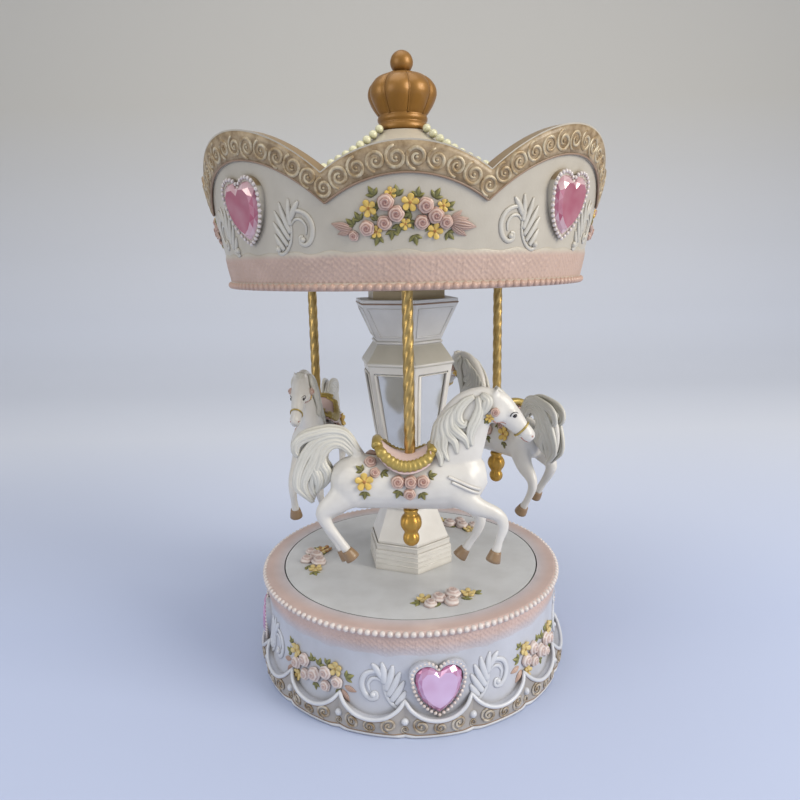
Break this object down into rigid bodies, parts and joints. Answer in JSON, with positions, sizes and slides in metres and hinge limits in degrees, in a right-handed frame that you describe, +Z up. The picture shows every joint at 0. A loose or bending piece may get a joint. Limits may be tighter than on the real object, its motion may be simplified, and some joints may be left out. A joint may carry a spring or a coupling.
{
  "type": "wind up music box",
  "caption": "Carousel music box: a scalloped canopy, mirrored column and hanging horses turn together on a round base over a key-wound comb movement.",
  "frame": {"origin": "on the turning axis at the level of the table, under the centre of the base", "axes": "+Z up along the turning axis, -Y towards the viewer of the picture, +X to the right"},
  "size_m": [0.1356, 0.1356, 0.216],
  "materials": {
    "pearl_white_resin": "pearl white painted cast resin",
    "antique_gold_resin": "antique gold painted cast resin",
    "heart_gem": "faceted pink glass",
    "pink_flower_resin": "painted resin flowers",
    "pearl_bead": "cream pearl",
    "mirror_glass": "silvered glass",
    "brass": "polished brass",
    "zinc_casting": "cast bedplate metal",
    "steel": "steel",
    "spring_steel": "blued steel strip",
    "nylon": "white plastic",
    "plate_board": "moulded plate"
  },
  "bodies": {
    "base": {"base_shell": "pearl_white_resin", "base_heart_stones": "heart_gem", "base_flower_sprays": "pink_flower_resin", "bottom_plate": "plate_board", "bottom_plate_screws": "steel", "movement_screws": "steel", "deck_bush": "brass", "thrust_washer": "nylon", "clutch_spring": "spring_steel", "movement_bedplate": "zinc_casting", "comb": "steel", "comb_screws": "steel", "governor_frame": "zinc_casting"},
    "winder": {"winding_key": "brass", "winding_arbor": "steel"},
    "carousel": {"spring_barrel": "zinc_casting", "barrel_cover": "zinc_casting", "mainspring": "spring_steel", "drive_rod": "steel", "rod_nut": "steel", "turntable_disc": "pearl_white_resin", "turntable_flower_sprays": "pink_flower_resin", "column_pedestal": "pearl_white_resin", "column_shaft": "pearl_white_resin", "column_mirrors": "mirror_glass", "column_capital": "pearl_white_resin", "column_cap": "antique_gold_resin", "canopy_valance": "pearl_white_resin", "canopy_heart_stones": "heart_gem", "canopy_flower_sprays": "pink_flower_resin", "canopy_ceiling": "pearl_white_resin", "canopy_roof": "pearl_white_resin", "pearl_strands": "pearl_bead", "crown_finial": "antique_gold_resin", "pole_1": "brass", "pole_finial_1": "brass", "horse_1": "pearl_white_resin", "pole_2": "brass", "pole_finial_2": "brass", "horse_2": "pearl_white_resin", "pole_3": "brass", "pole_finial_3": "brass", "horse_3": "pearl_white_resin"},
    "cylinder": {"music_cylinder": "brass", "cylinder_arbor": "steel", "cylinder_pinion": "brass", "cylinder_end_wheel": "brass"},
    "governor": {"governor_pinion": "steel", "governor_wheel": "brass", "governor_arbor": "steel"},
    "fly": {"governor_worm": "steel", "air_fly": "nylon"}
  },
  "joints": [
    {"name": "carousel_spin", "type": "hinge", "parent": "base", "child": "carousel", "pos_m": [0, 0, 0.033], "axis": [0, 0, 1], "continuous": true},
    {"name": "key_wind", "type": "hinge", "parent": "base", "child": "winder", "pos_m": [0, 0, 0.006], "axis": [0, 0, 1], "continuous": true},
    {"name": "cylinder_spin", "type": "hinge", "parent": "base", "child": "cylinder", "pos_m": [0.02, 0, 0.02029], "axis": [1, 0, 0], "continuous": true},
    {"name": "governor_spin", "type": "hinge", "parent": "base", "child": "governor", "pos_m": [0.036, -0.009, 0.02029], "axis": [1, 0, 0], "continuous": true},
    {"name": "fly_spin", "type": "hinge", "parent": "base", "child": "fly", "pos_m": [0.0373, -0.0154, 0.02029], "axis": [0, 0, 1], "continuous": true}
  ],
  "couplings": [
    {"joint": "cylinder_spin", "follows": "carousel_spin", "ratio": 3},
    {"joint": "governor_spin", "follows": "carousel_spin", "ratio": -10.5},
    {"joint": "fly_spin", "follows": "carousel_spin", "ratio": -210}
  ]
}
